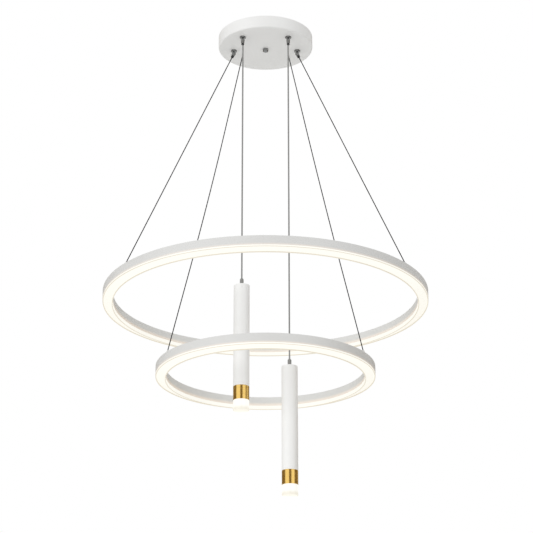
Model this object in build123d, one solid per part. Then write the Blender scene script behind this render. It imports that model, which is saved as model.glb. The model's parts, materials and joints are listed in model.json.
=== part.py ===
from build123d import *
import math
import os

# LED ring chandelier: a ceiling canopy, two lit rings on steel cables and two lit
# tubes on cords. Millimetres, +Z up. The origin is the middle of the ceiling face.

# ---------------------------------------------------------------- driving sizes
# Canopy, a pressed steel pan open towards the ceiling
CANOPY_R = 91.0
CANOPY_H = 24.0
CANOPY_WALL = 1.2
CANOPY_EDGE_R = 3.0

# Ceiling bracket, a joggled strip inside the pan
BRACKET_L = 112.0
BRACKET_W = 20.0
BRACKET_T = 1.8
BRACKET_CORNER_R = 4.0
BRACKET_DROP = 5.0
BRACKET_FLAT = 28.0
BRACKET_RAMP = 8.0
SLOT_SPACING = 72.0
SLOT_L = 16.0
SLOT_R = 2.3

# Centre stud with its lock nut and the cap nut that holds the pan up
STUD_R = 1.95
STUD_HEAD_R = 4.0
STUD_HEAD_H = 2.4
STUD_NUT_AF = 7.0
STUD_NUT_H = 3.2
CAP_NUT_R = 5.3
CAP_NUT_H = 6.0
CAP_NUT_EDGE_R = 1.8
CAP_NUT_WALL = 1.6

# Gear inside the pan: two LED drivers and a terminal block
RING_DRIVER_L = 88.0
RING_DRIVER_W = 34.0
RING_DRIVER_H = 16.0
RING_DRIVER_Y = 51.0
PENDANT_DRIVER_L = 42.0
PENDANT_DRIVER_W = 24.0
PENDANT_DRIVER_H = 14.0
PENDANT_DRIVER_Y = -51.0
DRIVER_CORNER_R = 2.5
DRIVER_LID_H = 2.0
DRIVER_LID_INSET = 0.8
EAR_L = 8.0
EAR_W = 12.0
EAR_T = 2.0
EAR_HOLE_R = 1.7
SCREW_R = 1.5
SCREW_HEAD_R = 2.8
SCREW_HEAD_H = 1.8
TERMINAL_L = 24.0
TERMINAL_W = 15.0
TERMINAL_H = 11.0
TERMINAL_X = -34.0
TERMINAL_Y = -21.0
TERMINAL_WAYS = 3
TERMINAL_HOLE_R = 2.2

# Cable grips: a scalloped base, a bell that swivels on its ball, and a plunger
SIDE_GRIP_X = 61.5
SIDE_GRIP_Y = 6.5
FRONT_GRIP_X = 43.6
FRONT_GRIP_Y = -50.0
GRIP_THREAD_R = 4.8
GRIP_THREAD_H = 7.0
GRIP_WIRE_R = 2.5
GRIP_WIRE_DEPTH = 5.0
GRIP_NUT_AF = 13.0
GRIP_NUT_H = 3.0
COLLAR_R = 5.7
COLLAR_H = 3.0
COLLAR_CHAMFER = 0.6
SCALLOPS = 6
SCALLOP_R = 0.9
SCALLOP_FLANGE = 0.6
NECK_R = 1.1
BALL_R = 2.5
BALL_DROP = 7.0
BELL_WALL = 1.05
BELL_LIP_ANGLE = 58.0
BELL_END_R = 3.1
BELL_L = 6.6
BELL_END_CHAMFER = 0.5
PLUNGER_STEM_R = 2.1
PLUNGER_STEM_L = 3.8
PLUNGER_HEAD_R = 2.8
PLUNGER_HEAD_H = 1.8
PLUNGER_EDGE_R = 0.5
PLUNGER_TRAVEL = 1.5

# Small grips that sit on the pan's floor and let the small ring's cables out
INNER_GRIP_X = 45.0
INNER_GRIP_Y = 27.0
INNER_GRIP_R = 3.6
INNER_GRIP_H = 9.0
INNER_GRIP_CHAMFER = 0.8
INNER_NECK_R = 1.9
INNER_NECK_OUT = 0.5

# Steel cables and pendant cords
CABLE_R = 0.9
CORD_R = 1.4
CORD_INBOARD = 0.3
CORD_BEHIND = 1.0
CORD_SOCKET_DEPTH = 1.0
CABLE_INTO_GRIP = 5.5
CABLE_INTO_NIPPLE = 3.0

# Rings: a channel that opens downward, closed by a trough-shaped diffuser
LARGE_RING_R = 300.0
SMALL_RING_R = 200.0
LARGE_RING_DROP = 551.0
SMALL_RING_DROP = 692.0
RING_W = 19.0
CHANNEL_H = 17.0
CHANNEL_WALL = 1.2
CHANNEL_TOP = 3.2
CHANNEL_EDGE_R = 0.8
DIFFUSER_H = 7.6
DIFFUSER_WALL = 1.6
DIFFUSER_INSET = 0.2
DIFFUSER_EDGE_R = 0.6
DIFFUSER_RIB_W = 1.4
DIFFUSER_RIB_H = 1.8
DIFFUSER_LEG_H = 3.0
DIFFUSER_LEG_T = 1.4
LED_TAPE_W = 8.0
LED_TAPE_T = 1.2
LED_CHIP = 3.0
LED_CHIP_H = 0.9
LARGE_RING_CHIPS = 60
SMALL_RING_CHIPS = 40

# Cable anchors on the rings' tops
LARGE_ANCHOR_ANGLE = 30.6
SMALL_ANCHOR_ANGLE = 22.3
ANCHOR_BASE_R = 4.0
ANCHOR_BASE_H = 1.5
ANCHOR_BALL_R = 2.9
ANCHOR_BALL_LIFT = 2.8
ANCHOR_STUB_R = 1.5
ANCHOR_STUB_L = 2.2
NIPPLE_L = 7.0
NIPPLE_ROOT_R = 2.5
NIPPLE_TIP_R = 1.9

# Pendants, each hanging straight below its grip
LEFT_PENDANT_DROP = 533.2
RIGHT_PENDANT_DROP = 688.0
PENDANT_R = 14.5
TUBE_L = 192.6
TUBE_WALL = 1.2
COLLAR_SLEEVE_L = 12.0
COLLAR_SLEEVE_T = 1.6
BRASS_L = 26.0
BRASS_EDGE = 0.4
LENS_L = 19.0
LENS_INSET = 0.2
LENS_NECK_L = 9.0
LENS_EDGE_R = 1.5
LENS_CUP_R = 9.0
LENS_CUP_H = 5.0
TOP_CAP_T = 3.0
TOP_CAP_RECESS = 0.6
GLAND_R = 3.9
GLAND_H = 14.5
GLAND_NUT_H = 4.0
GLAND_BODY_R = 3.4
GLAND_TIP_R = 2.3
GLAND_TIP_H = 1.8
GLAND_STUB_R = 3.0
CORD_INTO_GLAND = 5.0
LED_BOARD_T = 1.6
LED_BOARD_MARGIN = 0.6
LED_DOME_R = 6.0
LED_DOME_H = 1.5
HEAT_SINK_L = 24.0
HEAT_SINK_BASE = 4.0
HEAT_SINK_CORE_R = 5.0
HEAT_SINK_SLOTS = 8
HEAT_SINK_SLOT_W = 2.4

# Clearances
HOLE_CLEARANCE = 0.2
THREAD_CLEARANCE = 0.1
BALL_CLEARANCE = 0.15
SLIDE_CLEARANCE = 0.15
CORD_CLEARANCE = 0.1
SNAP_CLEARANCE = 0.15
SEAT_GAP = 0.25

# ---------------------------------------------------------------- derived places
PAN_FLOOR = -CANOPY_H + CANOPY_WALL
UNDERSIDE = -CANOPY_H
BALL_Z = UNDERSIDE - BALL_DROP
SOCKET_R = BALL_R + BALL_CLEARANCE
BELL_R = SOCKET_R + BELL_WALL
PLUNGER_BORE_R = PLUNGER_STEM_R + SLIDE_CLEARANCE
HEAD_TOP = -(BELL_L + PLUNGER_TRAVEL + SLIDE_CLEARANCE)
GRIP_EXIT = HEAD_TOP - PLUNGER_HEAD_H
TUBE_BORE_R = PENDANT_R - TUBE_WALL
SIDES = {"left": -1, "right": 1}

TINY = 0.001
MIN_Z = (Align.CENTER, Align.CENTER, Align.MIN)
MAX_Z = (Align.CENTER, Align.CENTER, Align.MAX)


# ---------------------------------------------------------------- helpers
def save(name, shape):
    """Write one sub-part to its own file."""
    export_step(shape, f"parts/{name}.step")


def section(*runs):
    """A closed face from an outline of lines and arcs that meet end to end."""
    return make_face([edge for run in runs for edge in run.edges()])


def turned(*points):
    """A solid of revolution round Z from a closed outline of (radius, height)."""
    return revolve(Plane.XZ * section(Polyline(*points, close=True)), Axis.Z)


def turned_runs(*runs):
    """A solid of revolution round Z from lines and arcs given as (radius, height)."""
    return revolve(Plane.XZ * section(*runs), Axis.Z)


def hex_prism(across_flats, height):
    """A hexagon standing on the XY plane."""
    return extrude(RegularPolygon(across_flats / 2, 6, major_radius=False), height)


def upward_frame(origin, down):
    """The location whose -Z runs along the direction given."""
    return Plane(origin=origin, x_dir=(1, 0, 0), z_dir=down * -1).location


def straight_tube(start, end, radius):
    """A straight cord or cable between two points, with its length as a check."""
    run = end - start
    tube = upward_frame(start, run.normalized()) * Cylinder(radius, run.length, align=MAX_Z)
    ratio = tube.volume / (math.pi * radius**2 * run.length)
    print(f"straight run {run.length:.1f} long, radius {radius}, no bends, volume ratio {ratio:.4f}")
    return tube


def circles_at(shape, height):
    """The circular edges of a shape that lie at one height."""
    circles = shape.edges().filter_by(GeomType.CIRCLE)
    return [edge for edge in circles if abs(edge.center().Z - height) < TINY]


# ---------------------------------------------------------------- places
def side_ball(side):
    return Vector(side * SIDE_GRIP_X, SIDE_GRIP_Y, BALL_Z)


def front_ball(side):
    return Vector(side * FRONT_GRIP_X, FRONT_GRIP_Y, BALL_Z)


def anchor_ball(side, ring_r, drop, angle):
    """Centre of the ball that a ring's cable pulls on."""
    middle_r = ring_r - RING_W / 2
    turn = math.radians(angle)
    height = -drop + CHANNEL_H + ANCHOR_BALL_LIFT
    return Vector(side * middle_r * math.cos(turn), -middle_r * math.sin(turn), height)


def small_cable_exit(side):
    """Where the small ring's cable leaves its inner grip's neck."""
    return Vector(side * INNER_GRIP_X, INNER_GRIP_Y, UNDERSIDE - INNER_NECK_OUT - SEAT_GAP)


def pendant_axis(side):
    """The plumb line of a pendant, in X and Y."""
    return side * (FRONT_GRIP_X - CORD_INBOARD), FRONT_GRIP_Y + CORD_BEHIND


# ---------------------------------------------------------------- canopy
def grip_places():
    """The four grips' names and places on the pan."""
    return {
        "side_left": (-SIDE_GRIP_X, SIDE_GRIP_Y),
        "side_right": (SIDE_GRIP_X, SIDE_GRIP_Y),
        "front_left": (-FRONT_GRIP_X, FRONT_GRIP_Y),
        "front_right": (FRONT_GRIP_X, FRONT_GRIP_Y),
    }


def canopy_pan():
    inner_r = CANOPY_R - CANOPY_WALL
    shell = turned((0, UNDERSIDE), (CANOPY_R, UNDERSIDE), (CANOPY_R, 0), (inner_r, 0),
                   (inner_r, PAN_FLOOR), (0, PAN_FLOOR))
    pan = fillet(circles_at(shell, UNDERSIDE), CANOPY_EDGE_R)
    pan = fillet(circles_at(pan, PAN_FLOOR), CANOPY_EDGE_R - CANOPY_WALL)
    pan -= Pos(0, 0, UNDERSIDE) * Cylinder(STUD_R + HOLE_CLEARANCE, 2 * CANOPY_WALL)
    for x, y in grip_places().values():
        pan -= Pos(x, y, UNDERSIDE) * Cylinder(GRIP_THREAD_R + HOLE_CLEARANCE, 4 * CANOPY_WALL)
    for side in SIDES.values():
        hole = Cylinder(INNER_NECK_R + HOLE_CLEARANCE, 4 * CANOPY_WALL)
        pan -= Pos(side * INNER_GRIP_X, INNER_GRIP_Y, UNDERSIDE) * hole
    return pan


def ceiling_bracket():
    """A strip whose ends lie on the ceiling and whose middle steps down to the stud."""
    half, flat = BRACKET_L / 2, BRACKET_FLAT / 2
    ramp_end = flat + BRACKET_RAMP
    side_view = section(
        Polyline((-half, 0), (-ramp_end, 0), (-flat, -BRACKET_DROP), (flat, -BRACKET_DROP),
                 (ramp_end, 0), (half, 0), (half, -BRACKET_T), (ramp_end, -BRACKET_T),
                 (flat, -BRACKET_DROP - BRACKET_T), (-flat, -BRACKET_DROP - BRACKET_T),
                 (-ramp_end, -BRACKET_T), (-half, -BRACKET_T), close=True))
    strip = extrude(Plane.XZ * side_view, BRACKET_W / 2, both=True)
    strip = fillet(strip.edges().filter_by(Axis.Z), BRACKET_CORNER_R)
    slot = extrude(SlotOverall(SLOT_L, 2 * SLOT_R), BRACKET_T * 2, both=True)
    strip -= [Pos(side * SLOT_SPACING / 2, 0, 0) * slot for side in (-1, 1)]
    strip -= Pos(0, 0, -BRACKET_DROP) * Cylinder(STUD_R + HOLE_CLEARANCE, 4 * BRACKET_T)
    return strip


def bracket_stud():
    seat = -BRACKET_DROP
    end = UNDERSIDE - CAP_NUT_H + CAP_NUT_WALL + SEAT_GAP
    head = Pos(0, 0, seat) * Cylinder(STUD_HEAD_R, STUD_HEAD_H, align=MIN_Z)
    head = chamfer(head.edges().sort_by(Axis.Z)[-1], STUD_HEAD_H / 4)
    return head + Pos(0, 0, seat) * Cylinder(STUD_R, seat - end, align=MAX_Z)


def stud_lock_nut():
    nut = hex_prism(STUD_NUT_AF, STUD_NUT_H) - Cylinder(STUD_R + THREAD_CLEARANCE, 4 * STUD_NUT_H)
    return Pos(0, 0, -BRACKET_DROP - BRACKET_T - STUD_NUT_H) * nut


def canopy_cap_nut():
    body = Pos(0, 0, UNDERSIDE) * Cylinder(CAP_NUT_R, CAP_NUT_H, align=MAX_Z)
    body = fillet(body.edges().sort_by(Axis.Z)[0], CAP_NUT_EDGE_R)
    bore = Cylinder(STUD_R + THREAD_CLEARANCE, CAP_NUT_H - CAP_NUT_WALL, align=MAX_Z)
    return body - Pos(0, 0, UNDERSIDE) * bore


def driver(length, width, height):
    """An LED driver: a case with a stepped lid and two screwed ears, on the XY plane."""
    case = Box(length, width, height - DRIVER_LID_H, align=MIN_Z)
    case = fillet(case.edges().filter_by(Axis.Z), DRIVER_CORNER_R)
    lid = Box(length - 2 * DRIVER_LID_INSET, width - 2 * DRIVER_LID_INSET, DRIVER_LID_H, align=MIN_Z)
    lid = fillet(lid.edges().filter_by(Axis.Z), DRIVER_CORNER_R - DRIVER_LID_INSET)
    body = case + Pos(0, 0, height - DRIVER_LID_H) * lid
    body += Box(length + 2 * EAR_L, EAR_W, EAR_T, align=MIN_Z)
    holes = [Pos(x, 0, 0) * Cylinder(EAR_HOLE_R, 4 * EAR_T) for x in ear_offsets(length)]
    return body - holes


def ear_offsets(length):
    reach = length / 2 + EAR_L / 2
    return -reach, reach


def ring_driver():
    return Pos(0, RING_DRIVER_Y, PAN_FLOOR) * driver(RING_DRIVER_L, RING_DRIVER_W, RING_DRIVER_H)


def pendant_driver():
    body = driver(PENDANT_DRIVER_L, PENDANT_DRIVER_W, PENDANT_DRIVER_H)
    return Pos(0, PENDANT_DRIVER_Y, PAN_FLOOR) * body


def driver_screws():
    """Pan-head screws that hold the drivers' ears to the pan."""
    screw = Cylinder(SCREW_HEAD_R, SCREW_HEAD_H, align=MIN_Z)
    screw = fillet(screw.edges().sort_by(Axis.Z)[-1], SCREW_HEAD_H / 2)
    screw += Cylinder(SCREW_R, EAR_T, align=MAX_Z)
    places = [(x, RING_DRIVER_Y) for x in ear_offsets(RING_DRIVER_L)]
    places += [(x, PENDANT_DRIVER_Y) for x in ear_offsets(PENDANT_DRIVER_L)]
    return Compound(children=[(Pos(x, y, PAN_FLOOR + EAR_T) * screw).solid() for x, y in places])


def terminal_block():
    """Three screw terminals in a row, with wire holes through and screw wells on top."""
    block = Box(TERMINAL_L, TERMINAL_W, TERMINAL_H, align=MIN_Z)
    pitch = TERMINAL_L / TERMINAL_WAYS
    first = -TERMINAL_L / 2 + pitch / 2
    for way in range(TERMINAL_WAYS):
        x = first + way * pitch
        block -= Pos(x, 0, TERMINAL_H / 2) * Rot(90, 0, 0) * Cylinder(TERMINAL_HOLE_R, 2 * TERMINAL_W)
        block -= Pos(x, 0, TERMINAL_H) * Cylinder(TERMINAL_HOLE_R, TERMINAL_H)
    return Pos(TERMINAL_X, TERMINAL_Y, PAN_FLOOR) * block


# ---------------------------------------------------------------- cable grips
def grip_base():
    """Threaded stub, scalloped collar and ball, with the underside of the pan at Z 0."""
    ball_join = math.sqrt(BALL_R**2 - NECK_R**2)
    base = turned_runs(
        Polyline((0, GRIP_THREAD_H - GRIP_WIRE_DEPTH), (GRIP_WIRE_R, GRIP_THREAD_H - GRIP_WIRE_DEPTH),
                 (GRIP_WIRE_R, GRIP_THREAD_H), (GRIP_THREAD_R, GRIP_THREAD_H), (GRIP_THREAD_R, 0),
                 (COLLAR_R, 0), (COLLAR_R, COLLAR_CHAMFER - COLLAR_H),
                 (COLLAR_R - COLLAR_CHAMFER, -COLLAR_H), (NECK_R, -COLLAR_H),
                 (NECK_R, ball_join - BALL_DROP)),
        ThreePointArc((NECK_R, ball_join - BALL_DROP), (BALL_R, -BALL_DROP), (0, -BALL_DROP - BALL_R)),
        Line((0, -BALL_DROP - BALL_R), (0, GRIP_THREAD_H - GRIP_WIRE_DEPTH)),
    )
    groove = Pos(0, 0, -SCALLOP_FLANGE) * Cylinder(SCALLOP_R, COLLAR_H, align=MAX_Z)
    return base - [place * groove for place in PolarLocations(COLLAR_R, SCALLOPS)]


def grip_lock_nut():
    return hex_prism(GRIP_NUT_AF, GRIP_NUT_H) - Cylinder(GRIP_THREAD_R + THREAD_CLEARANCE, 4 * GRIP_NUT_H)


def grip_lock_nuts():
    """One nut on each grip's thread, inside the pan."""
    nuts = [Pos(x, y, PAN_FLOOR) * grip_lock_nut() for x, y in grip_places().values()]
    return Compound(children=[nut.solid() for nut in nuts])


def grip_bell():
    """The swivelling bell: a cup round the ball, tapering to the plunger's bore."""
    lip = math.radians(BELL_LIP_ANGLE)
    bore_join = -math.sqrt(SOCKET_R**2 - PLUNGER_BORE_R**2)
    inner_lip = (SOCKET_R * math.sin(lip), SOCKET_R * math.cos(lip))
    outer_lip = (BELL_R * math.sin(lip), BELL_R * math.cos(lip))
    half_lip = (lip + math.pi / 2) / 2
    on_cup = (BELL_R * math.sin(half_lip), BELL_R * math.cos(half_lip))
    return turned_runs(
        Line(inner_lip, outer_lip),
        ThreePointArc(outer_lip, on_cup, (BELL_R, 0)),
        Polyline((BELL_R, 0), (BELL_END_R, -BELL_L + BELL_END_CHAMFER),
                 (BELL_END_R - BELL_END_CHAMFER, -BELL_L), (PLUNGER_BORE_R, -BELL_L),
                 (PLUNGER_BORE_R, bore_join)),
        ThreePointArc((PLUNGER_BORE_R, bore_join), (SOCKET_R, 0), inner_lip),
    )


def grip_plunger(socket=None):
    """The release plunger, bored for a cable or with a socket for a pendant's cord."""
    stem = Pos(0, 0, HEAD_TOP) * Cylinder(PLUNGER_STEM_R, PLUNGER_STEM_L, align=MIN_Z)
    head = Pos(0, 0, HEAD_TOP) * Cylinder(PLUNGER_HEAD_R, PLUNGER_HEAD_H, align=MAX_Z)
    head = fillet(head.edges().sort_by(Axis.Z)[0], PLUNGER_EDGE_R)
    plunger = stem + head
    if socket is None:
        bore = Cylinder(CABLE_R + CORD_CLEARANCE, 4 * BELL_L)
        return plunger - bore
    x, y = socket
    hole = Cylinder(CORD_R + CORD_CLEARANCE, 2 * CORD_SOCKET_DEPTH)
    return plunger - Pos(x, y, GRIP_EXIT) * hole


def inner_grip():
    """A grip for the small ring's cable: a body on the pan's floor and a neck through it."""
    top = CANOPY_WALL + INNER_GRIP_H
    body = turned((0, -INNER_NECK_OUT), (INNER_NECK_R, -INNER_NECK_OUT), (INNER_NECK_R, CANOPY_WALL),
                  (INNER_GRIP_R, CANOPY_WALL), (INNER_GRIP_R, top - INNER_GRIP_CHAMFER),
                  (INNER_GRIP_R - INNER_GRIP_CHAMFER, top), (0, top))
    return body - Cylinder(CABLE_R + CORD_CLEARANCE, 4 * INNER_GRIP_H)


def inner_grips():
    places = [Pos(side * INNER_GRIP_X, INNER_GRIP_Y, UNDERSIDE) for side in SIDES.values()]
    return Compound(children=[(place * inner_grip()).solid() for place in places])


# ---------------------------------------------------------------- rings
def ring_channel(ring_r, drop, angle):
    """A rolled channel, open downward, with a blind hole under each cable anchor."""
    middle_r = ring_r - RING_W / 2
    outline = Rectangle(RING_W, CHANNEL_H, align=(Align.CENTER, Align.MIN))
    outline = fillet(outline.vertices().group_by(Axis.Y)[-1], CHANNEL_EDGE_R)
    inner_w = RING_W - 2 * CHANNEL_WALL
    outline -= Rectangle(inner_w, CHANNEL_H - CHANNEL_TOP, align=(Align.CENTER, Align.MIN))
    channel = revolve(Plane.XZ * Pos(middle_r, -drop) * outline, Axis.Z)
    hole = Cylinder(ANCHOR_STUB_R + THREAD_CLEARANCE, ANCHOR_STUB_L + SEAT_GAP, align=MAX_Z)
    for side in SIDES.values():
        ball = anchor_ball(side, ring_r, drop, angle)
        channel -= Pos(ball.X, ball.Y, -drop + CHANNEL_H) * hole
    return channel


def ring_diffuser(ring_r, drop):
    """An opal trough below the walls, ribbed along both edges, with two legs that snap in."""
    half = RING_W / 2 - DIFFUSER_INSET
    leg_outer = RING_W / 2 - CHANNEL_WALL - SNAP_CLEARANCE
    leg_inner = leg_outer - DIFFUSER_LEG_T
    floor = DIFFUSER_RIB_H - DIFFUSER_H
    body = Rectangle(2 * half, DIFFUSER_H, align=(Align.CENTER, Align.MAX))
    body = fillet(body.vertices().group_by(Axis.Y)[0], DIFFUSER_EDGE_R)
    body -= Pos(0, floor) * Rectangle(2 * (half - DIFFUSER_RIB_W), DIFFUSER_RIB_H,
                                      align=(Align.CENTER, Align.MAX))
    body += Rectangle(2 * leg_outer, DIFFUSER_LEG_H, align=(Align.CENTER, Align.MIN))
    body -= Pos(0, floor + DIFFUSER_WALL) * Rectangle(2 * leg_inner, DIFFUSER_H + DIFFUSER_LEG_H,
                                                      align=(Align.CENTER, Align.MIN))
    return revolve(Plane.XZ * Pos(ring_r - RING_W / 2, -drop) * body, Axis.Z)


def ring_led_tape(ring_r, drop, chips):
    """A circuit board ring under the channel's roof, with its LED chips."""
    middle_r = ring_r - RING_W / 2
    roof = -drop + CHANNEL_H - CHANNEL_TOP
    outer_r, inner_r = middle_r + LED_TAPE_W / 2, middle_r - LED_TAPE_W / 2
    tape = turned((inner_r, roof - LED_TAPE_T), (outer_r, roof - LED_TAPE_T), (outer_r, roof),
                  (inner_r, roof))
    chip = Box(LED_CHIP, LED_CHIP, LED_CHIP_H, align=MAX_Z)
    places = PolarLocations(middle_r, chips)
    return tape + [Pos(0, 0, roof - LED_TAPE_T) * place * chip for place in places]


def cable_anchor(ball, down):
    """A screwed foot, a ball and a nipple that points up along the cable."""
    foot_z = ball.Z - ANCHOR_BALL_LIFT
    foot = Pos(ball.X, ball.Y, foot_z) * Cylinder(ANCHOR_BASE_R, ANCHOR_BASE_H, align=MIN_Z)
    stub = Pos(ball.X, ball.Y, foot_z) * Cylinder(ANCHOR_STUB_R, ANCHOR_STUB_L, align=MAX_Z)
    cup = Pos(ball.X, ball.Y, foot_z) * Cylinder(ANCHOR_BALL_R, ANCHOR_BALL_LIFT, align=MIN_Z)
    frame = upward_frame(ball, down)
    nipple = Cone(NIPPLE_ROOT_R, NIPPLE_TIP_R, NIPPLE_L, align=MIN_Z)
    bore = Pos(0, 0, NIPPLE_L - CABLE_INTO_NIPPLE) * Cylinder(
        CABLE_R + CORD_CLEARANCE, 2 * CABLE_INTO_NIPPLE, align=MIN_Z)
    return foot + stub + cup + frame * Sphere(ANCHOR_BALL_R) + frame * nipple - frame * bore


# ---------------------------------------------------------------- pendants
def cord_gland():
    """The strain relief on a pendant's top, with the cap's upper face at Z 0."""
    body = turned((0, -TOP_CAP_T), (GLAND_STUB_R, -TOP_CAP_T), (GLAND_STUB_R, 0), (GLAND_R, 0),
                  (GLAND_R, GLAND_NUT_H), (GLAND_BODY_R, GLAND_NUT_H), (GLAND_BODY_R, GLAND_H - GLAND_TIP_H),
                  (GLAND_TIP_R, GLAND_H), (0, GLAND_H))
    bore = Cylinder(CORD_R + CORD_CLEARANCE, 2 * CORD_INTO_GLAND)
    return body - Pos(0, 0, GLAND_H) * bore


def pendant_top_cap():
    disc = Cylinder(TUBE_BORE_R - SNAP_CLEARANCE, TOP_CAP_T, align=MAX_Z)
    return disc - Cylinder(GLAND_STUB_R + THREAD_CLEARANCE, 4 * TOP_CAP_T)


def pendant_tube():
    tube = Cylinder(PENDANT_R, TUBE_L, align=MAX_Z)
    tube = fillet(tube.edges().sort_by(Axis.Z)[-1], TUBE_WALL / 2)
    return tube - Cylinder(TUBE_BORE_R, 4 * TUBE_L)


def brass_collar():
    """A brass band flush with the tube, with a sleeve that fits inside it."""
    sleeve_r = TUBE_BORE_R - SNAP_CLEARANCE
    bore_r = sleeve_r - COLLAR_SLEEVE_T
    return turned((bore_r, COLLAR_SLEEVE_L), (sleeve_r, COLLAR_SLEEVE_L), (sleeve_r, 0),
                  (PENDANT_R - BRASS_EDGE, 0), (PENDANT_R, -BRASS_EDGE),
                  (PENDANT_R, BRASS_EDGE - BRASS_L), (PENDANT_R - BRASS_EDGE, -BRASS_L),
                  (bore_r, -BRASS_L))


def lens_neck_r():
    return TUBE_BORE_R - SNAP_CLEARANCE - COLLAR_SLEEVE_T - SNAP_CLEARANCE


def pendant_lens():
    """A clear acrylic plug with a cup in its top, below the brass collar at Z 0."""
    body = Cylinder(PENDANT_R - LENS_INSET, LENS_L, align=MAX_Z)
    body = fillet(body.edges().sort_by(Axis.Z)[0], LENS_EDGE_R)
    body += Cylinder(lens_neck_r(), LENS_NECK_L, align=MIN_Z)
    return body - Pos(0, 0, LENS_NECK_L) * Cone(LENS_CUP_R / 2, LENS_CUP_R, LENS_CUP_H, align=MAX_Z)


def led_module():
    """A round board with one domed emitter, facing down."""
    board = Cylinder(lens_neck_r() - LED_BOARD_MARGIN, LED_BOARD_T, align=MIN_Z)
    emitter = Cylinder(LED_DOME_R, LED_DOME_H, align=MAX_Z)
    return board + fillet(emitter.edges().sort_by(Axis.Z)[0], LED_DOME_H / 2)


def heat_sink():
    """A slotted aluminium plug that carries the board inside the collar's sleeve."""
    body = Cylinder(lens_neck_r(), HEAT_SINK_L, align=MIN_Z)
    gap = lens_neck_r() - HEAT_SINK_CORE_R
    slot = Pos(HEAT_SINK_CORE_R, 0, HEAT_SINK_BASE) * Box(
        2 * gap, HEAT_SINK_SLOT_W, HEAT_SINK_L, align=(Align.MIN, Align.CENTER, Align.MIN))
    return body - [Rot(0, 0, turn * 360 / HEAT_SINK_SLOTS) * slot for turn in range(HEAT_SINK_SLOTS)]


# ---------------------------------------------------------------- assembly
def save_canopy():
    save("ceiling_bracket", ceiling_bracket())
    save("bracket_stud", bracket_stud())
    save("stud_lock_nut", stud_lock_nut())
    save("canopy_pan", canopy_pan())
    save("canopy_cap_nut", canopy_cap_nut())
    save("ring_driver", ring_driver())
    save("pendant_driver", pendant_driver())
    save("driver_screws", driver_screws())
    save("terminal_block", terminal_block())
    save("grip_lock_nuts", grip_lock_nuts())
    save("inner_grips", inner_grips())
    for name, (x, y) in grip_places().items():
        save(f"grip_base_{name}", Pos(x, y, UNDERSIDE) * grip_base())


def save_ring(size, ring_r, drop, angle, chips):
    save(f"{size}_ring_channel", ring_channel(ring_r, drop, angle))
    save(f"{size}_ring_diffuser", ring_diffuser(ring_r, drop))
    save(f"{size}_ring_led_tape", ring_led_tape(ring_r, drop, chips))


def save_large_ring_hangers():
    """The side grips' bells lie along the large ring's cables."""
    for name, side in SIDES.items():
        ball = side_ball(side)
        anchor = anchor_ball(side, LARGE_RING_R, LARGE_RING_DROP, LARGE_ANCHOR_ANGLE)
        down = (anchor - ball).normalized()
        frame = upward_frame(ball, down)
        save(f"grip_bell_side_{name}", frame * grip_bell())
        save(f"grip_plunger_side_{name}", frame * grip_plunger())
        start = ball + down * (-GRIP_EXIT - CABLE_INTO_GRIP + PLUNGER_TRAVEL)
        end = anchor - down * (NIPPLE_L - CABLE_INTO_NIPPLE + SEAT_GAP)
        save(f"large_ring_cable_{name}", straight_tube(start, end, CABLE_R))
        save(f"large_ring_anchor_{name}", cable_anchor(anchor, down))


def save_small_ring_hangers():
    """The small ring's cables come straight out of the pan, behind the front grips."""
    for name, side in SIDES.items():
        start = small_cable_exit(side)
        anchor = anchor_ball(side, SMALL_RING_R, SMALL_RING_DROP, SMALL_ANCHOR_ANGLE)
        down = (anchor - start).normalized()
        end = anchor - down * (NIPPLE_L - CABLE_INTO_NIPPLE + SEAT_GAP)
        save(f"small_ring_cable_{name}", straight_tube(start, end, CABLE_R))
        save(f"small_ring_anchor_{name}", cable_anchor(anchor, down))


def save_pendant(name, drop):
    """A front grip's bell and plunger, the cord, and the tube that hangs on it."""
    side = SIDES[name]
    x, y = pendant_axis(side)
    frame = Location(front_ball(side))
    save(f"grip_bell_front_{name}", frame * grip_bell())
    save(f"grip_plunger_front_{name}", frame * grip_plunger((-side * CORD_INBOARD, CORD_BEHIND)))
    cap_top = -drop - TOP_CAP_RECESS
    start = Vector(x, y, BALL_Z + GRIP_EXIT + CORD_SOCKET_DEPTH - SEAT_GAP)
    end = Vector(x, y, cap_top + GLAND_H - CORD_INTO_GLAND + SEAT_GAP)
    save(f"{name}_pendant_cord", straight_tube(start, end, CORD_R))
    collar_top = -drop - TUBE_L
    lens_top = collar_top - BRASS_L
    board_z = lens_top + LENS_NECK_L + SEAT_GAP
    save(f"{name}_pendant_gland", Pos(x, y, cap_top) * cord_gland())
    save(f"{name}_pendant_top_cap", Pos(x, y, cap_top) * pendant_top_cap())
    save(f"{name}_pendant_tube", Pos(x, y, -drop) * pendant_tube())
    save(f"{name}_pendant_collar", Pos(x, y, collar_top) * brass_collar())
    save(f"{name}_pendant_lens", Pos(x, y, lens_top) * pendant_lens())
    save(f"{name}_pendant_led_module", Pos(x, y, board_z) * led_module())
    save(f"{name}_pendant_heat_sink", Pos(x, y, board_z + LED_BOARD_T) * heat_sink())


os.makedirs("parts", exist_ok=True)
save_canopy()
save_ring("large", LARGE_RING_R, LARGE_RING_DROP, LARGE_ANCHOR_ANGLE, LARGE_RING_CHIPS)
save_ring("small", SMALL_RING_R, SMALL_RING_DROP, SMALL_ANCHOR_ANGLE, SMALL_RING_CHIPS)
save_large_ring_hangers()
save_small_ring_hangers()
save_pendant("left", LEFT_PENDANT_DROP)
save_pendant("right", RIGHT_PENDANT_DROP)
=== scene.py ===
import json
import math

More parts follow.
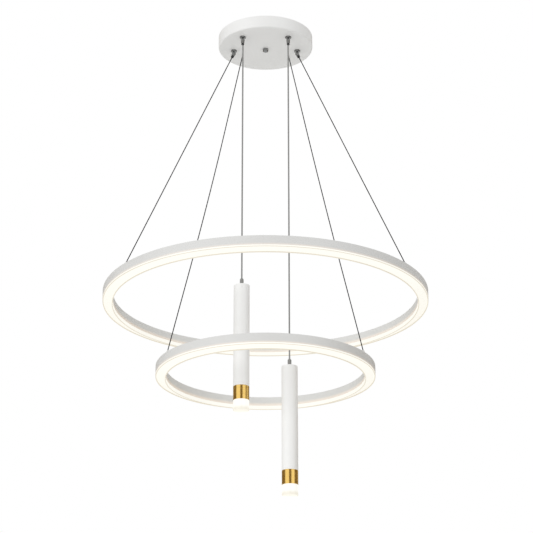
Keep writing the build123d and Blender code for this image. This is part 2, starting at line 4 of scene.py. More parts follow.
import bpy
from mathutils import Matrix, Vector


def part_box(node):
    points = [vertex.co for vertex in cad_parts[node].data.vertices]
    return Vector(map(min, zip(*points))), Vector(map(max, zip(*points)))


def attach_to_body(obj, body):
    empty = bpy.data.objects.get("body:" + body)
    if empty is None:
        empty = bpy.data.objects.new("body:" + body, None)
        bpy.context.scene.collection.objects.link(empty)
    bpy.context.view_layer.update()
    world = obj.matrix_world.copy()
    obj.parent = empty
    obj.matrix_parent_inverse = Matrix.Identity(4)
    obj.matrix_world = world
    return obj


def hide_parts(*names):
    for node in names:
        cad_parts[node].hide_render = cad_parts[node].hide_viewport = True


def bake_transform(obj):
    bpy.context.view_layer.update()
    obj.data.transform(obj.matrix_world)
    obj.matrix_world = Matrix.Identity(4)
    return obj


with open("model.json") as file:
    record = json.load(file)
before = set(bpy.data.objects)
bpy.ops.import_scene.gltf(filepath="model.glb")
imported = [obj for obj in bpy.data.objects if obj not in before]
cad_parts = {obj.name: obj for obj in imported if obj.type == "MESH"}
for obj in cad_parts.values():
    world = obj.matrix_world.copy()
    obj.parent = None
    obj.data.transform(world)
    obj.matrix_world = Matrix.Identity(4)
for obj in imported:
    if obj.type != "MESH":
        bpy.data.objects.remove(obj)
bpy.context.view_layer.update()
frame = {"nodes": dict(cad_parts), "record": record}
bpy.ops.object.select_all(action="DESELECT")

# LED ring chandelier: the looks. Places are in metres, outlines of turned pieces in millimetres.
MM = 0.001

# Cable and cord runs, from their upper to their lower ends
CABLE_RUNS = {
    "large_ring_cable_left": ((-0.063550, 0.004821, -0.036439), (-0.248605, -0.146697, -0.527379)),
    "large_ring_cable_right": ((0.063550, 0.004821, -0.036439), (0.248605, -0.146697, -0.527379)),
    "small_ring_cable_left": ((-0.045000, 0.027000, -0.024750), (-0.175417, -0.071655, -0.668081)),
    "small_ring_cable_right": ((0.045000, 0.027000, -0.024750), (0.175417, -0.071655, -0.668081)),
}
CORD_RUNS = {
    "left_pendant_cord": ((-0.0433, -0.0490, -0.04030), (-0.0433, -0.0490, -0.52405)),
    "right_pendant_cord": ((0.0433, -0.0490, -0.04030), (0.0433, -0.0490, -0.67885)),
}
CABLE_D = 0.0018
CORD_D = 0.0028
# A run has a point this many diameters from each of its ends
RUN_LEAD = 6
# The small ring's cables aren't quite tight: how far their middles hang in towards the centre
CABLE_SLACK = {"small_ring_cable_left": 0.0040, "small_ring_cable_right": 0.0022}

# Ring sections, in millimetres: a channel that opens downward, and a trough of opal in it
RING_HALF = 9.5
CHANNEL_H, CHANNEL_WALL, CHANNEL_TOP, CHANNEL_EDGE, CHANNEL_FOOT = 17.0, 1.2, 3.2, 0.8, 0.3
TROUGH_HALF, TROUGH_H, TROUGH_EDGE, TROUGH_WALL = 9.3, 7.6, 0.6, 1.6
# The photograph shows the diffuser's outer edge higher than its inner one
OUTER_LIP = 3.0
RIB_W, RIB_H = 1.4, 1.8
LEG_OUT, LEG_IN, LEG_H = 8.15, 6.75, 3.0

# Pendant sections, in millimetres
TUBE_R, TUBE_BORE, TUBE_L, TUBE_EDGE, TUBE_FOOT = 14.5, 13.3, 192.6, 0.6, 0.2
BRASS_L, BRASS_EDGE, SLEEVE_L, SLEEVE_R, SLEEVE_BORE = 26.0, 0.4, 12.0, 13.15, 11.55
LENS_R, LENS_L, LENS_EDGE, NECK_R, NECK_L = 14.3, 19.0, 1.5, 11.4, 9.0
CUP_R, CUP_FLOOR_R, CUP_FLOOR = 9.0, 4.5, 4.0
# How far up from its foot the lens glows warmer
LENS_CLEAR = 9.0

# How many sides stand for a circle
RING_SIDES = {"large_ring": 256, "small_ring": 224}
PENDANT_SIDES = 96
# Edges that turn less than this are shaded smooth, in degrees
TURNED_SMOOTH, CORD_SMOOTH = 35, 40
# Points closer than this are merged, in metres
MERGE_WITHIN = 0.000001
# How near a ring's face has to lie to count as being in a place, in millimetres, and how little its
# normal may rise or fall on an upright wall: less than on the chamfers, which turn by 45 degrees
FACE_NEAR, UPRIGHT = 0.1, 0.7

# The photograph's size and the focal length that fits its rings and canopy, in pixels
PHOTO_WIDTH = 533
FOCAL_LENGTH = 1900
SENSOR_MM = 36.0
CAMERA_PLACE = (0.001915, -3.30057, -1.73908)
CAMERA_TILT_UP = 20.929

# The studio. The world lights the object at this strength, and shows white behind it and in gloss.
WORLD_LIGHT = 0.76
KEY_PLACE, KEY_TILT, KEY_TURN, KEY_SIDE, KEY_WATTS = (-2.4, -3.4, 0.4), 78, -35, 2.2, 44
FLOOR_SIDE, FLOOR_Z = 14, -2.4
# Brown boards all round, but for two bright gaps in front, give the brass its dark bands.
# Each has its name, its direction in degrees from the front, and its width.
BOARDS = (("flag_front", 3, 1.5), ("flag_right", 99, 3.6), ("flag_left", -104, 3.4),
          ("flag_back_right", 158, 1.6), ("flag_back_left", -156, 1.6))
BOARD_DISTANCE, BOARD_H, BOARD_Z = 2.6, 3.6, -0.1
# One more, low on the right, shades the right sides of the pendants
SHADE_PLACE, SHADE_SIZE = (0.55, -0.03, -1.06), (0.55, 0.6)


# ---------------------------------------------------------------- modelling
def carry_along(outline, at):
    """Carries the selected loop along an outline of (radius, height), as on a lathe."""
    r, z = outline[0]
    for next_r, next_z in outline[1:]:
        bpy.ops.mesh.extrude_edges_move(TRANSFORM_OT_translate={"value": (0, 0, (next_z - z) * MM)})
        if next_r == 0:
            bpy.ops.mesh.merge(type="CENTER")
        elif next_r != r:
            size = next_r / r
            bpy.ops.transform.resize(value=(size, size, 1), center_override=at)
        r, z = next_r, next_z


def turned(name, outline, place, sides):
    """A lathe-turned piece: an outline of (radius, height) about a vertical line through place.
    An outline that starts on the axis gets a pole there, and one that ends where it starts is a ring."""
    on_axis = outline[0][0] == 0
    start_r, start_z = outline[1] if on_axis else outline[0]
    at = Vector(place) + Vector((0, 0, start_z * MM))
    bpy.ops.mesh.primitive_circle_add(vertices=sides, radius=start_r * MM, location=at)
    piece = bpy.context.object
    piece.name = piece.data.name = name
    bpy.ops.object.mode_set(mode="EDIT")
    if on_axis:
        bpy.ops.mesh.extrude_edges_move(
            TRANSFORM_OT_translate={"value": (0, 0, (outline[0][1] - start_z) * MM)})
        bpy.ops.mesh.merge(type="CENTER")
        bpy.ops.mesh.select_all(action="DESELECT")
        bpy.ops.mesh.select_non_manifold(extend=False, use_wire=False, use_multi_face=False,
                                         use_non_contiguous=False, use_verts=False)
        outline = outline[1:]
    carry_along(outline, at)
    bpy.ops.mesh.select_all(action="SELECT")
    bpy.ops.mesh.remove_doubles(threshold=MERGE_WITHIN)
    bpy.ops.mesh.normals_make_consistent(inside=False)
    bpy.ops.object.mode_set(mode="OBJECT")
    bpy.ops.object.shade_smooth_by_angle(angle=math.radians(TURNED_SMOOTH))
    settle(piece)
    return piece


def settle(piece):
    """Leaves a finished piece at the origin, with its place in its mesh."""
    bpy.ops.object.select_all(action="DESELECT")
    piece.select_set(True)
    bpy.context.view_layer.objects.active = piece
    bpy.ops.object.transform_apply(location=True, rotation=True, scale=True)
    piece.select_set(False)


def arc(centre, radius, start, end, steps):
    """Points of an arc about (radius, height), with angles in degrees from outward to up."""
    turns = [math.radians(start + (end - start) * i / steps) for i in range(steps + 1)]
    return [(centre[0] + radius * math.cos(t), centre[1] + radius * math.sin(t)) for t in turns]


def from_axis(face):
    """How far a ring's face lies from the axis of the rings, in millimetres."""
    return math.hypot(face.center.x, face.center.y) / MM


def dress(piece, *materials):
    """Gives a piece its materials, in place of any that it has."""
    piece.data.materials.clear()
    for material in materials:
        piece.data.materials.append(material)


def attach(piece, body, node):
    """Makes a piece ride on its body, in place of a CAD node."""
    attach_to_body(piece, body)
    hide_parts(node)


# ---------------------------------------------------------------- materials
# A Mix node's colour sockets share their names with its other sockets, so they go by number
COLOUR_A, COLOUR_B, COLOUR_OUT = 6, 7, 2
# A Mapping scale that draws a pattern out round a turned piece, into rings
INTO_RINGS = (0.02, 0.02, 1.0)


def linear(colour):
    """An sRGB hex colour as linear RGBA."""
    parts = [int(colour[i:i + 2], 16) / 255 for i in (1, 3, 5)]
    return [p / 12.92 if p <= 0.04045 else ((p + 0.055) / 1.055) ** 2.4 for p in parts] + [1.0]


def add(tree, kind, settings=None, links=None):
    """Adds a shader node with its settings, which are properties or socket values, and its links."""
    made = tree.nodes.new("ShaderNode" + kind)
    for key, value in (settings or {}).items():
        if isinstance(key, str) and key not in made.inputs:
            setattr(made, key, value)
        else:
            made.inputs[key].default_value = value
    for key, source in (links or {}).items():
        tree.links.new(source, made.inputs[key])
    return made


def finish_of(name, colour, roughness, metallic=0.0, **sockets):
    """A new material with a Principled shader. Returns it, its tree and the shader."""
    material = bpy.data.materials.new(name)
    material.use_nodes = True
    tree = material.node_tree
    shader = tree.nodes["Principled BSDF"]
    shader.inputs["Base Color"].default_value = linear(colour)
    shader.inputs["Roughness"].default_value = roughness
    shader.inputs["Metallic"].default_value = metallic
    for socket, value in sockets.items():
        shader.inputs[socket.replace("_", " ")].default_value = value
    return material, tree, shader


def grain(size_mm):
    """The scale of a pattern on Object coordinates whose features are that size."""
    return 1000.0 / size_mm


def powder_coat(name, low_tint, high_tint, lit_edge=None, spill=0.0, reach=0.0):
    # White polyester powder coat on pressed steel and aluminium: satin, with a faint orange peel.
    # The real peel is about 0.8 mm across, drawn at 3 mm so that it shows.
    material, tree, shader = finish_of(name, high_tint, 0.42)
    at = add(tree, "TexCoord").outputs["Object"]
    peel = add(tree, "TexNoise", {"Scale": grain(3.0), "Detail": 3.0, "Roughness": 0.55}, {"Vector": at})
    cloud = add(tree, "TexNoise", {"Scale": grain(60.0), "Detail": 2.0}, {"Vector": at})
    tint = add(tree, "Mix", {"data_type": "RGBA", COLOUR_A: linear(low_tint), COLOUR_B: linear(high_tint)},
               {"Factor": cloud.outputs["Fac"]})
    sheen = add(tree, "MapRange", {"To Min": 0.37, "To Max": 0.47}, {"Value": peel.outputs["Fac"]})
    bump = add(tree, "Bump", {"Strength": 0.12, "Distance": 0.0002}, {"Height": peel.outputs["Fac"]})
    tree.links.new(tint.outputs[COLOUR_OUT], shader.inputs["Base Color"])
    tree.links.new(sheen.outputs["Result"], shader.inputs["Roughness"])
    tree.links.new(bump.outputs["Normal"], shader.inputs["Normal"])
    if lit_edge is not None:
        # Painted light: a warm glow in the paint stands in for the opal's light on the paint next to it,
        # less and less over its reach in millimetres.
        height = add(tree, "SeparateXYZ", {}, {"Vector": at}).outputs["Z"]
        painted_glow = add(tree, "MapRange", {"interpolation_type": "SMOOTHERSTEP", "From Min": lit_edge,
                                      "From Max": lit_edge + reach * MM, "To Min": spill, "To Max": 0.0},
                   {"Value": height})
        shader.inputs["Emission Color"].default_value = linear("#FFCA88")
        tree.links.new(painted_glow.outputs["Result"], shader.inputs["Emission Strength"])
    return material


def lit_opal(name, colour, glow, strength):
    # Extruded opal acrylic lit from inside: even light, faint milky clouding, a soft satin skin.
    material, tree, shader = finish_of(name, colour, 0.35, Emission_Strength=strength)
    at = add(tree, "TexCoord").outputs["Object"]
    milk = add(tree, "TexNoise", {"Scale": grain(25.0), "Detail": 2.0}, {"Vector": at})
    dim = [part * 0.97 for part in linear(glow)[:3]] + [1.0]
    light = add(tree, "Mix", {"data_type": "RGBA", COLOUR_A: dim, COLOUR_B: linear(glow)},
                {"Factor": milk.outputs["Fac"]})
    tree.links.new(light.outputs[COLOUR_OUT], shader.inputs["Emission Color"])
    return material


def lit_acrylic(name, foot, rim, clear):
    # Cast acrylic turned from rod and lit from above: glossy, white where the light fills it, and
    # warmer and dimmer towards its foot. Faint turning rings 1 mm apart show in its glow.
    material, tree, shader = finish_of(name, "#8A8883", 0.12)
    at = add(tree, "TexCoord").outputs["Object"]
    rings = add(tree, "Mapping", {"Scale": INTO_RINGS}, {"Vector": at})
    marks = add(tree, "TexNoise", {"Scale": grain(1.0), "Detail": 2.0}, {"Vector": rings.outputs["Vector"]})
    height = add(tree, "SeparateXYZ", {}, {"Vector": at}).outputs["Z"]
    climb = {"interpolation_type": "SMOOTHSTEP", "From Min": foot + rim, "From Max": foot + clear}
    filled = add(tree, "MapRange", climb, {"Value": height})
    light = add(tree, "Mix", {"data_type": "RGBA", COLOUR_A: linear("#FFFAEB"), COLOUR_B: linear("#FFFFFB")},
                {"Factor": filled.outputs["Result"]})
    power = add(tree, "MapRange", {**climb, "To Min": 0.70, "To Max": 0.82}, {"Value": height})
    flicker = add(tree, "MapRange", {"To Min": 0.97, "To Max": 1.0}, {"Value": marks.outputs["Fac"]})
    glow = add(tree, "Math", {"operation": "MULTIPLY"},
               {0: power.outputs["Result"], 1: flicker.outputs["Result"]})
    tree.links.new(light.outputs[COLOUR_OUT], shader.inputs["Emission Color"])
    tree.links.new(glow.outputs["Value"], shader.inputs["Emission Strength"])
    return material


def chrome():
    # Polished chrome plate on turned brass: mirror bright, with faint polishing marks.
    material, tree, shader = finish_of("polished_chrome", "#8F9090", 0.12, 1.0)
    at = add(tree, "TexCoord").outputs["Object"]
    marks = add(tree, "TexNoise", {"Scale": grain(2.0), "Detail": 4.0}, {"Vector": at})
    dull = add(tree, "MapRange", {"To Min": 0.08, "To Max": 0.20}, {"Value": marks.outputs["Fac"]})
    tree.links.new(dull.outputs["Result"], shader.inputs["Roughness"])
    return material


def black_nickel():
    # Black nickel plate on the release plungers: dark, glossy, a little worn.
    material, tree, shader = finish_of("black_nickel", "#4A4A4C", 0.2, 1.0)
    at = add(tree, "TexCoord").outputs["Object"]
    wear = add(tree, "TexNoise", {"Scale": grain(1.5), "Detail": 4.0}, {"Vector": at})
    tint = add(tree, "Mix", {"data_type": "RGBA", COLOUR_A: linear("#3E3E40"), COLOUR_B: linear("#5A5A5B")},
               {"Factor": wear.outputs["Fac"]})
    tree.links.new(tint.outputs[COLOUR_OUT], shader.inputs["Base Color"])
    return material


def zinc_steel():
    # Zinc-plated steel: grey, satin, with the faint cloudy grain of the plating.
    material, tree, shader = finish_of("zinc_plated_steel", "#A9ABAD", 0.35, 1.0)
    at = add(tree, "TexCoord").outputs["Object"]
    bloom = add(tree, "TexVoronoi", {"Scale": grain(2.5)}, {"Vector": at})
    tint = add(tree, "Mix", {"data_type": "RGBA", COLOUR_A: linear("#A2A4A6"), COLOUR_B: linear("#B9BBBD")},
               {"Factor": bloom.outputs["Distance"]})
    tree.links.new(tint.outputs[COLOUR_OUT], shader.inputs["Base Color"])
    return material


def moulded_plastic(name, colour, roughness, grain_mm=1.2):
    # Injection-moulded plastic: even colour, a fine spark-eroded texture from the tool.
    material, tree, shader = finish_of(name, colour, roughness)
    at = add(tree, "TexCoord").outputs["Object"]
    spark = add(tree, "TexNoise", {"Scale": grain(grain_mm), "Detail": 4.0}, {"Vector": at})
    bump = add(tree, "Bump", {"Strength": 0.08, "Distance": 0.0002}, {"Height": spark.outputs["Fac"]})
    sheen = add(tree, "MapRange", {"To Min": roughness - 0.05, "To Max": roughness + 0.05},
                {"Value": spark.outputs["Fac"]})
    tree.links.new(bump.outputs["Normal"], shader.inputs["Normal"])
    tree.links.new(sheen.outputs["Result"], shader.inputs["Roughness"])
    return material


def stranded_steel():
    # Galvanised steel rope of six strands: dark grey, with painted shade in a darker line where two strands
    # meet.
    # The real lay is 6 mm long, drawn along the cable's own UV map.
    material, tree, shader = finish_of("stranded_steel", "#8E8F90", 0.4, 1.0,
                                       Specular_Tint=linear("#8A8B8C"))
    along = add(tree, "TexCoord").outputs["UV"]
    turn = add(tree, "Mapping", {"Scale": (90.0, 6.0, 1.0)}, {"Vector": along})
    lay = add(tree, "TexWave", {"wave_type": "BANDS", "bands_direction": "DIAGONAL", "Scale": 1.0},
              {"Vector": turn.outputs["Vector"]})
    # Painted shade: the darker bands stand for the shade in the groove where two strands meet.
    tint = add(tree, "Mix", {"data_type": "RGBA", COLOUR_A: linear("#101112"), COLOUR_B: linear("#343538")},
               {"Factor": lay.outputs["Fac"]})
    bump = add(tree, "Bump", {"Strength": 0.6, "Distance": 0.0002}, {"Height": lay.outputs["Fac"]})
    tree.links.new(tint.outputs[COLOUR_OUT], shader.inputs["Base Color"])
    tree.links.new(bump.outputs["Normal"], shader.inputs["Normal"])
    return material


def brushed_brass():
    # Brass turned on a lathe, polished and lacquered: tool rings 0.1 mm apart, drawn at 0.7 mm and
    # almost polished out, so that what it mirrors runs down it in clean bands.
    material, tree, shader = finish_of("turned_brass", "#F6C866", 0.16, 1.0)
    at = add(tree, "TexCoord").outputs["Object"]
    rings = add(tree, "Mapping", {"Scale": INTO_RINGS}, {"Vector": at})
    marks = add(tree, "TexNoise", {"Scale": grain(0.7), "Detail": 3.0, "Roughness": 0.7},
                {"Vector": rings.outputs["Vector"]})
    tint = add(tree, "Mix", {"data_type": "RGBA", COLOUR_A: linear("#EFC062"), COLOUR_B: linear("#FDDD8C")},
               {"Factor": marks.outputs["Fac"]})
    dull = add(tree, "MapRange", {"To Min": 0.15, "To Max": 0.21}, {"Value": marks.outputs["Fac"]})
    bump = add(tree, "Bump", {"Strength": 0.04, "Distance": 0.0001}, {"Height": marks.outputs["Fac"]})
    tree.links.new(tint.outputs[COLOUR_OUT], shader.inputs["Base Color"])
    tree.links.new(dull.outputs["Result"], shader.inputs["Roughness"])
    tree.links.new(bump.outputs["Normal"], shader.inputs["Normal"])
    return material


def led_board():
    # White solder mask with pale yellow phosphor, seen only through the opal.
    material, tree, shader = finish_of("led_board", "#EFEAD2", 0.5)
    at = add(tree, "TexCoord").outputs["Object"]
    specks = add(tree, "TexNoise", {"Scale": grain(4.0), "Detail": 2.0}, {"Vector": at})
    tint = add(tree, "Mix", {"data_type": "RGBA", COLOUR_A: linear("#EDE4BE"), COLOUR_B: linear("#F4F1E4")},
               {"Factor": specks.outputs["Fac"]})
    tree.links.new(tint.outputs[COLOUR_OUT], shader.inputs["Base Color"])
    return material


def sink_aluminium():
    # Turned, clear-anodised aluminium: pale, satin, with fine tool rings 0.5 mm apart.
    material, tree, shader = finish_of("anodised_aluminium", "#C3C5C7", 0.38, 1.0)
    at = add(tree, "TexCoord").outputs["Object"]
    rings = add(tree, "Mapping", {"Scale": INTO_RINGS}, {"Vector": at})
    marks = add(tree, "TexNoise", {"Scale": grain(0.5), "Detail": 2.0}, {"Vector": rings.outputs["Vector"]})
    dull = add(tree, "MapRange", {"To Min": 0.3, "To Max": 0.46}, {"Value": marks.outputs["Fac"]})
    tree.links.new(dull.outputs["Result"], shader.inputs["Roughness"])
    return material


def white_paper():
    # Uncoated white studio paper: matt, with faint clouds of pulp.
    material, tree, shader = finish_of("white_paper", "#FDFDFC", 0.9)
    at = add(tree, "TexCoord").outputs["Object"]
    pulp = add(tree, "TexNoise", {"Scale": grain(40.0), "Detail": 2.0}, {"Vector": at})
    tint = add(tree, "Mix", {"data_type": "RGBA", COLOUR_A: linear("#FBFBFA"), COLOUR_B: linear("#FFFFFE")},
               {"Factor": pulp.outputs["Fac"]})
    tree.links.new(tint.outputs[COLOUR_OUT], shader.inputs["Base Color"])
    # It shows on its upper side only, because a hanging lamp is also looked at from below.
    clear = add(tree, "BsdfTransparent")
    under = add(tree, "NewGeometry").outputs["Backfacing"]
    one_sided = add(tree, "MixShader", {}, {0: under, 1: shader.outputs["BSDF"], 2: clear.outputs["BSDF"]})
    tree.links.new(one_sided.outputs[0], tree.nodes["Material Output"].inputs["Surface"])
    return material


def brown_board():
    # Plain brown fibreboard: matt, with a faint grain of fibres.
    material, tree, shader = finish_of("brown_board", "#8C7C60", 0.9)
    at = add(tree, "TexCoord").outputs["Object"]
    fibre = add(tree, "TexNoise", {"Scale": grain(5.0)}, {"Vector": at})
    tint = add(tree, "Mix", {"data_type": "RGBA", COLOUR_A: linear("#88785C"), COLOUR_B: linear("#908064")},
               {"Factor": fibre.outputs["Fac"]})
    tree.links.new(tint.outputs[COLOUR_OUT], shader.inputs["Base Color"])
    return material


WHITE = powder_coat("white_powder_coat", "#EAEAE9", "#F2F2F1")
TUBE_WHITE = powder_coat("tube_powder_coat", "#F4F4F3", "#FAFAF9")
OPAL = lit_opal("lit_opal", "#8A8883", "#FFFDF5", 0.81)
OPAL_EDGE = lit_opal("opal_rib_edge", "#8A8478", "#F6EFDD", 0.60)
CHROME = chrome()
NICKEL = black_nickel()
ZINC = zinc_steel()
CASE = moulded_plastic("driver_polycarbonate", "#DEDEDA", 0.5)
STEEL_ROPE = stranded_steel()
CORD_SKIN = moulded_plastic("grey_pvc", "#8F8F8E", 0.48, grain_mm=2.0)
NIPPLE = moulded_plastic("white_nylon", "#E4E4E2", 0.35)
GLAND = moulded_plastic("grey_nylon", "#8E8E8C", 0.42)
BRASS = brushed_brass()
LED_MASK = led_board()
SINK = sink_aluminium()


# ---------------------------------------------------------------- camera
def photo_camera():
    bpy.ops.object.camera_add(location=CAMERA_PLACE, rotation=(math.radians(90 + CAMERA_TILT_UP), 0, 0))
    camera = bpy.context.object
    camera.name = "photo_camera"
    camera.data.sensor_width = SENSOR_MM
    camera.data.lens = FOCAL_LENGTH * SENSOR_MM / PHOTO_WIDTH
    camera.data.clip_end = 50.0
    bpy.context.scene.camera = camera
    camera.select_set(False)


# ---------------------------------------------------------------- cords
def run_line(name, start, end, diameter):
    """The NURBS line of a run, with a point near each end and one in a slack run's middle."""
    a, b = Vector(start), Vector(end)
    near = (b - a).normalized() * RUN_LEAD * diameter
    places = [a, a + near, b - near, b]
    if name in CABLE_SLACK:
        inward = Vector((-math.copysign(1, b.x), 0, 0))
        # The line passes at three quarters of the way out to its middle point.
        places.insert(2, (a + b) / 2 + inward * CABLE_SLACK[name] * 4 / 3)
    curve = bpy.data.curves.new(name, "CURVE")
    curve.dimensions = "3D"
    spline = curve.splines.new("NURBS")
    spline.points.add(len(places) - 1)
    for point, place in zip(spline.points, places):
        point.co = (*place, 1.0)
    spline.order_u = 3
    spline.use_endpoint_u = True
    spline.resolution_u = 24
    line = bpy.data.objects.new(name, curve)
    bpy.context.scene.collection.objects.link(line)
    return line


def cord_piece(name, start, end, diameter, material):
    """A cable or cord as a mesh tube along its own NURBS line."""
    line = run_line(name, start, end, diameter)
    bare = bpy.data.meshes.new_from_object(line.evaluated_get(bpy.context.evaluated_depsgraph_get()))
    bpy.data.meshes.remove(bare)
    line.data.bevel_depth = diameter / 2
    line.data.bevel_resolution = 3
    line.data.use_fill_caps = True
    bpy.context.view_layer.objects.active = line
    line.select_set(True)
    bpy.ops.object.convert(target="MESH")
    tube = bpy.context.object
    tube.name = tube.data.name = name + "_piece"
    bpy.ops.object.shade_smooth_by_angle(angle=math.radians(CORD_SMOOTH))
    tube.select_set(False)
    dress(tube, material)
    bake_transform(tube)
    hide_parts(name)


def cords():
    for name, (start, end) in CABLE_RUNS.items():
        cord_piece(name, start, end, CABLE_D, STEEL_ROPE)
    for name, (start, end) in CORD_RUNS.items():
        cord_piece(name, start, end, CORD_D, CORD_SKIN)


# ---------------------------------------------------------------- rings
def ring_channel(ring, middle, foot):
    """The white channel, about the middle of the ring's width. Its inner wall takes a lighter copy of the
    paint with a stronger painted glow, as painted light for the more light it catches.
    """
    out, back = middle + RING_HALF, middle - RING_HALF
    top, edge, chamfer = CHANNEL_H, CHANNEL_EDGE, CHANNEL_FOOT
    inside = RING_HALF - CHANNEL_WALL
    roof = CHANNEL_H - CHANNEL_TOP
    outline = [(out - chamfer, 0), (out, chamfer), *arc((out - edge, top - edge), edge, 0, 90, 4),
               *arc((back + edge, top - edge), edge, 90, 180, 4), (back, chamfer), (back + chamfer, 0),
               (middle - inside, 0), (middle - inside, roof), (middle + inside, roof), (middle + inside, 0),
               (out - chamfer, 0)]
    channel = turned(ring + "_channel_piece", outline, (0, 0, foot), RING_SIDES[ring])
    # Both coats carry a painted glow near the foot. The second is a lighter copy of the paint, as painted
    # light.
    dress(channel, powder_coat(ring + "_powder_coat", "#D9D9D8", "#DFDFDD", foot, spill=0.13, reach=4.5),
          powder_coat(ring + "_inner_coat_painted_light", "#E0E0DE", "#E7E7E4", foot, spill=0.20, reach=8.0))
    # Painted light: the upright faces of the inner wall take the lighter copy with the stronger glow.
    for face in channel.data.polygons:
        if abs(face.normal.z) < UPRIGHT and abs(from_axis(face) - back) < chamfer:
            face.material_index = 1
    return channel


def ring_diffuser(ring, middle, foot):
    """The opal trough, deeper inside than outside, with legs that snap into the channel and a rib
    along each edge. The ribs are dimmer than the floor between them."""
    half, deep, corner, lip = TROUGH_HALF, TROUGH_H, TROUGH_EDGE, OUTER_LIP
    rib = half - RIB_W
    floor_in, floor_out = RIB_H - deep, RIB_H - lip
    outline = [(middle + half, 0), *arc((middle + half - corner, corner - lip), corner, 0, -90, 3),
               (middle + rib, -lip), (middle + rib, floor_out), (middle - rib, floor_in),
               (middle - rib, -deep),
               *arc((middle - half + corner, corner - deep), corner, -90, -180, 3), (middle - half, 0),
               (middle - LEG_OUT, 0), (middle - LEG_OUT, LEG_H), (middle - LEG_IN, LEG_H),
               (middle - LEG_IN, floor_in + TROUGH_WALL), (middle + LEG_IN, floor_out + TROUGH_WALL),
               (middle + LEG_IN, LEG_H), (middle + LEG_OUT, LEG_H), (middle + LEG_OUT, 0),
               (middle + half, 0)]
    trough = turned(ring + "_diffuser_piece", outline, (0, 0, foot), RING_SIDES[ring])
    dress(trough, OPAL, OPAL_EDGE)
    near = FACE_NEAR
    for face in trough.data.polygons:
        z = (face.center.z - foot) / MM
        off = from_axis(face) - middle
        rib_foot = -lip if off > 0 else -deep
        on_rib = abs(off) > rib - near and rib_foot - near < z < rib_foot + RIB_H - near
        on_flank = abs(off) >= half - near and z >= rib_foot + corner
        if on_rib and not on_flank:
            face.material_index = 1
    return trough


def ring_pieces(ring):
    low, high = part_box(ring + "_channel")
    middle = high.x / MM - RING_HALF
    channel = ring_channel(ring, middle, low.z)
    trough = ring_diffuser(ring, middle, low.z)
    # The brass shows clean dark bands in the photograph, so the rings stay out of its reflections.
    channel.visible_glossy = trough.visible_glossy = False
    attach(channel, ring, ring + "_channel")
    attach(trough, ring, ring + "_diffuser")


# ---------------------------------------------------------------- pendants
def pendant_tube(pendant, top):
    outline = [(TUBE_BORE, -TUBE_L), (TUBE_R - TUBE_FOOT, -TUBE_L), (TUBE_R, TUBE_FOOT - TUBE_L),
               *arc((TUBE_R - TUBE_EDGE, -TUBE_EDGE), TUBE_EDGE, 0, 90, 4), (TUBE_BORE, 0),
               (TUBE_BORE, -TUBE_L)]
    tube = turned(pendant + "_tube_piece", outline, top, PENDANT_SIDES)
    dress(tube, TUBE_WHITE)
    return tube


def pendant_collar(pendant, top):
    """The brass collar, with its sleeve up inside the tube."""
    outline = [(SLEEVE_BORE, SLEEVE_L), (SLEEVE_R, SLEEVE_L), (SLEEVE_R, 0), (TUBE_R - BRASS_EDGE, 0),
               (TUBE_R, -BRASS_EDGE), (TUBE_R, BRASS_EDGE - BRASS_L), (TUBE_R - BRASS_EDGE, -BRASS_L),
               (SLEEVE_BORE, -BRASS_L), (SLEEVE_BORE, SLEEVE_L)]
    collar = turned(pendant + "_collar_piece", outline, top, PENDANT_SIDES)
    dress(collar, BRASS)
    return collar


def pendant_lens(pendant, top, finish_name):
    """The acrylic lens, with its neck up inside the collar and a cup in the neck for the light."""
    outline = [(0, CUP_FLOOR), (CUP_FLOOR_R, CUP_FLOOR), (CUP_R, NECK_L), (NECK_R, NECK_L), (NECK_R, 0),
               (LENS_R, 0), (LENS_R, LENS_CLEAR - LENS_L), (LENS_R, LENS_EDGE - LENS_L),
               *arc((LENS_R - LENS_EDGE, LENS_EDGE - LENS_L), LENS_EDGE, 0, -90, 5)[1:], (0, -LENS_L)]
    lens = turned(pendant + "_lens_piece", outline, top, PENDANT_SIDES)
    dress(lens, lit_acrylic(finish_name, top[2] - LENS_L * MM, LENS_EDGE * MM, LENS_CLEAR * MM))
    return lens


def pendant_pieces(side):
    pendant = side + "_pendant"
    low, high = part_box(pendant + "_tube")
    x, y = (low.x + high.x) / 2, (low.y + high.y) / 2
    collar_top = high.z - TUBE_L * MM
    lens_top = collar_top - BRASS_L * MM
    tube = pendant_tube(pendant, (x, y, high.z))
    collar = pendant_collar(pendant, (x, y, collar_top))
    lens = pendant_lens(pendant, (x, y, lens_top), side + "_lit_acrylic")
    attach(tube, pendant, pendant + "_tube")
    attach(collar, pendant, pendant + "_collar")
    attach(lens, pendant, pendant + "_lens")


# ---------------------------------------------------------------- nodes that keep their shape
def dress_nodes():
    """Finishes for the CAD nodes, by their slots in the record."""
    finishes = {"zinc_steel": ZINC, "chrome": CHROME, "dark_chrome": NICKEL, "driver_plastic": CASE,
                "white_paint": WHITE, "white_nipple": NIPPLE, "grey_gland": GLAND, "led_board": LED_MASK,
                "sink_aluminium": SINK, "steel_cable": STEEL_ROPE, "grey_cord": CORD_SKIN,
                "opal_diffuser": OPAL, "brushed_brass": BRASS, "lit_acrylic": OPAL}
    slots = {part["node"]: part["material_slot"] for part in frame["record"]["subparts"]}
    for name, node in frame["nodes"].items():
        for material_slot in node.material_slots:
            material_slot.material = finishes[slots[name]]


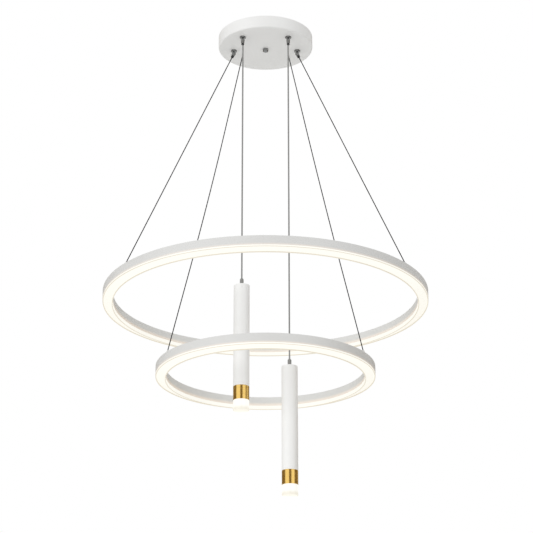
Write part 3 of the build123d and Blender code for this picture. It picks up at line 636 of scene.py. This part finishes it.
# ---------------------------------------------------------------- studio
def white_world():
    world = bpy.data.worlds.new("white_studio")
    bpy.context.scene.world = world
    world.use_nodes = True
    tree = world.node_tree
    tree.nodes.clear()
    path = add(tree, "LightPath")
    seen = add(tree, "Math", {"operation": "MAXIMUM"},
               {0: path.outputs["Is Camera Ray"], 1: path.outputs["Is Glossy Ray"]})
    shown = add(tree, "Math", {"operation": "MAXIMUM"},
                {0: seen.outputs[0], 1: path.outputs["Is Transmission Ray"]})
    soft = add(tree, "Background", {"Color": linear("#FFFFFF"), "Strength": WORLD_LIGHT})
    white = add(tree, "Background", {"Color": linear("#FFFFFF"), "Strength": 1.0})
    mixed = add(tree, "MixShader", {}, {0: shown.outputs[0], 1: soft.outputs[0], 2: white.outputs[0]})
    add(tree, "OutputWorld", {}, {"Surface": mixed.outputs[0]})


def key_light():
    bpy.ops.object.light_add(type="AREA", location=KEY_PLACE,
                             rotation=(math.radians(KEY_TILT), 0, math.radians(KEY_TURN)))
    key = bpy.context.object
    key.name = "key_light"
    key.data.shape = "RECTANGLE"
    key.data.size = key.data.size_y = KEY_SIDE
    key.data.energy = KEY_WATTS
    key.visible_glossy = False
    key.select_set(False)


def paper_floor():
    bpy.ops.mesh.primitive_plane_add(size=FLOOR_SIDE, location=(0, 0, FLOOR_Z))
    floor = bpy.context.object
    floor.name = "studio_floor"
    dress(floor, white_paper())
    floor.select_set(False)


def studio_board(name, size, place, turn, material):
    """A board that only reflections see, turned from the front in degrees."""
    bpy.ops.mesh.primitive_plane_add(size=1, location=place,
                                     rotation=(math.radians(90), 0, math.radians(turn)))
    flag = bpy.context.object
    flag.name = name
    flag.scale = (*size, 1)
    dress(flag, material)
    flag.visible_camera = flag.visible_diffuse = flag.visible_shadow = False
    flag.visible_transmission = flag.visible_volume_scatter = False
    flag.select_set(False)
    return flag


def studio():
    white_world()
    key_light()
    paper_floor()
    brown = brown_board()
    for name, turn, width in BOARDS:
        around = math.radians(turn)
        place = (BOARD_DISTANCE * math.sin(around), -BOARD_DISTANCE * math.cos(around), BOARD_Z)
        studio_board(name, (width, BOARD_H), place, turn, brown)
    shade = studio_board("shade_right", SHADE_SIZE, SHADE_PLACE, 90, brown)
    shade.visible_diffuse = shade.visible_shadow = True
    shade.visible_glossy = False


photo_camera()
cords()
for ring in ("large_ring", "small_ring"):
    ring_pieces(ring)
for side in ("left", "right"):
    pendant_pieces(side)
dress_nodes()
studio()

bpy.context.scene.view_settings.view_transform = "Standard"
